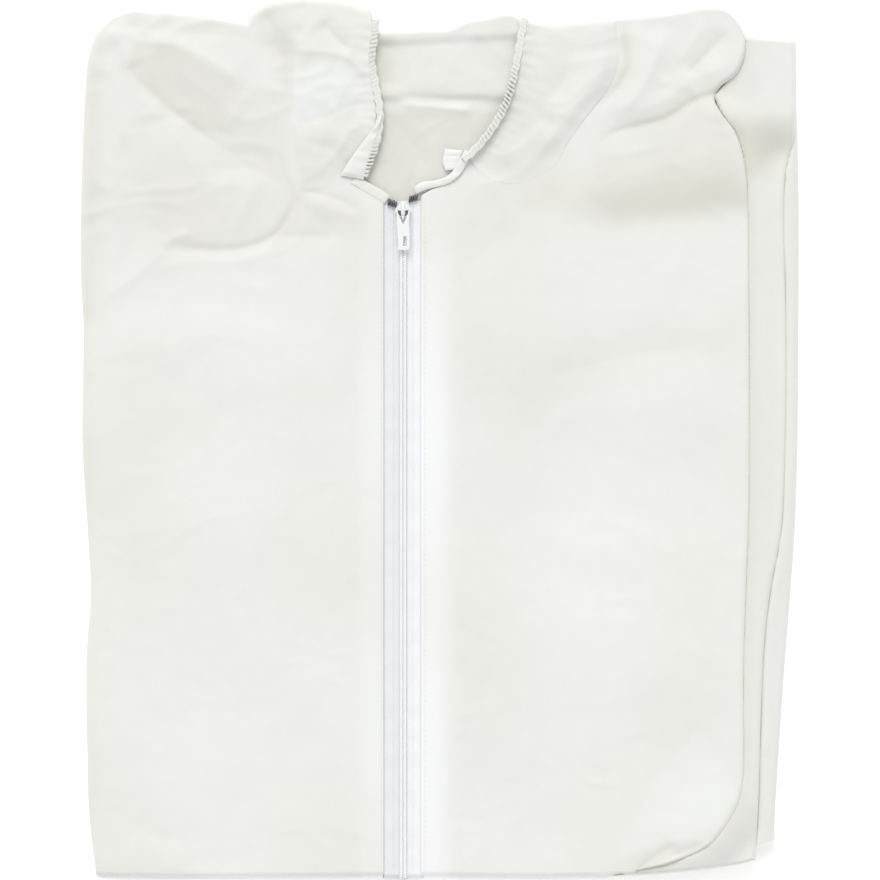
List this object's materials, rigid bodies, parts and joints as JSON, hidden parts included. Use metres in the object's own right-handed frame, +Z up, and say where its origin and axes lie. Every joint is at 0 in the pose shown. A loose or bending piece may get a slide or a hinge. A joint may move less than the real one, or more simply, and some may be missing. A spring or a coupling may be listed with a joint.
{
  "type": "folded hooded coverall",
  "caption": "Disposable white non-woven hooded coverall folded flat, with front zip, gathered elastic hood edge, and sleeves and legs that fold out.",
  "frame": {"origin": "middle of the folded pack, on the surface that it lies on", "axes": "+Z up out of the front, +Y towards the hood, +X towards the picture's right (the wearer's left)"},
  "size_m": [0.428, 0.528, 0.0376],
  "materials": {
    "nonwoven_cloth": "matte",
    "zip_tape_cloth": "matte",
    "coil_nylon": "satin",
    "elastic_thread": "matte",
    "stop_metal": "satin",
    "slider_enamel": "satin"
  },
  "bodies": {
    "torso": {"front_panel_left": "nonwoven_cloth", "front_panel_right": "nonwoven_cloth", "back_panel": "nonwoven_cloth", "waist_elastic": "elastic_thread", "zip_tape_left": "zip_tape_cloth", "zip_tape_right": "zip_tape_cloth", "zip_coil_left": "coil_nylon", "zip_coil_right": "coil_nylon", "top_stop_left": "stop_metal", "top_stop_right": "stop_metal"},
    "hood": {"hood_left": "nonwoven_cloth", "hood_right": "nonwoven_cloth", "hood_back": "nonwoven_cloth", "face_elastic_left": "elastic_thread", "face_elastic_right": "elastic_thread"},
    "upper_legs": {"thigh_left": "nonwoven_cloth", "thigh_right": "nonwoven_cloth", "lower_zip_tape_left": "zip_tape_cloth", "lower_zip_tape_right": "zip_tape_cloth", "lower_zip_coil_left": "coil_nylon", "lower_zip_coil_right": "coil_nylon", "bottom_stop": "stop_metal"},
    "lower_leg_left": {"shin_left": "nonwoven_cloth", "ankle_elastic_left": "elastic_thread"},
    "lower_leg_right": {"shin_right": "nonwoven_cloth", "ankle_elastic_right": "elastic_thread"},
    "sleeve_bundle_left": {"sleeve_left": "nonwoven_cloth", "wrist_elastic_left": "elastic_thread"},
    "sleeve_bundle_right": {"sleeve_right": "nonwoven_cloth", "wrist_elastic_right": "elastic_thread"},
    "slider": {"slider_body": "slider_enamel", "slider_bail": "slider_enamel"},
    "pull": {"pull_tab": "slider_enamel"}
  },
  "joints": [
    {"name": "hip_fold", "type": "hinge", "parent": "torso", "child": "upper_legs", "pos_m": [0, -0.2646, 0.01575], "axis": [-1, 0, 0], "range_deg": [0, 180]},
    {"name": "knee_fold_left", "type": "hinge", "parent": "upper_legs", "child": "lower_leg_left", "pos_m": [-0.11, 0.243, 0.00725], "axis": [1, 0, 0], "range_deg": [0, 180]},
    {"name": "knee_fold_right", "type": "hinge", "parent": "upper_legs", "child": "lower_leg_right", "pos_m": [0.1, 0.243, 0.00725], "axis": [1, 0, 0], "range_deg": [0, 180]},
    {"name": "sleeve_fold_left", "type": "hinge", "parent": "torso", "child": "sleeve_bundle_left", "pos_m": [-0.2143, 0.05, 0.02025], "axis": [0, 1, 0], "range_deg": [0, 180]},
    {"name": "sleeve_fold_right", "type": "hinge", "parent": "torso", "child": "sleeve_bundle_right", "pos_m": [0.1843, 0.05, 0.02025], "axis": [0, -1, 0], "range_deg": [0, 180]},
    {"name": "hood_lift", "type": "hinge", "parent": "torso", "child": "hood", "pos_m": [-0.022, 0.163, 0.02645], "axis": [1, 0, 0], "range_deg": [0, 90]},
    {"name": "zip_travel", "type": "slide", "parent": "torso", "child": "slider", "axis": [0, -1, 0], "range_m": [0, 0.375]},
    {"name": "pull_swing", "type": "hinge", "parent": "slider", "child": "pull", "pos_m": [-0.022, 0.137, 0.0291], "axis": [-1, 0, 0], "range_deg": [0, 170]}
  ],
  "couplings": [
    {"joint": "sleeve_fold_left", "follows": "hip_fold", "ratio": 1},
    {"joint": "sleeve_fold_right", "follows": "hip_fold", "ratio": 1}
  ]
}
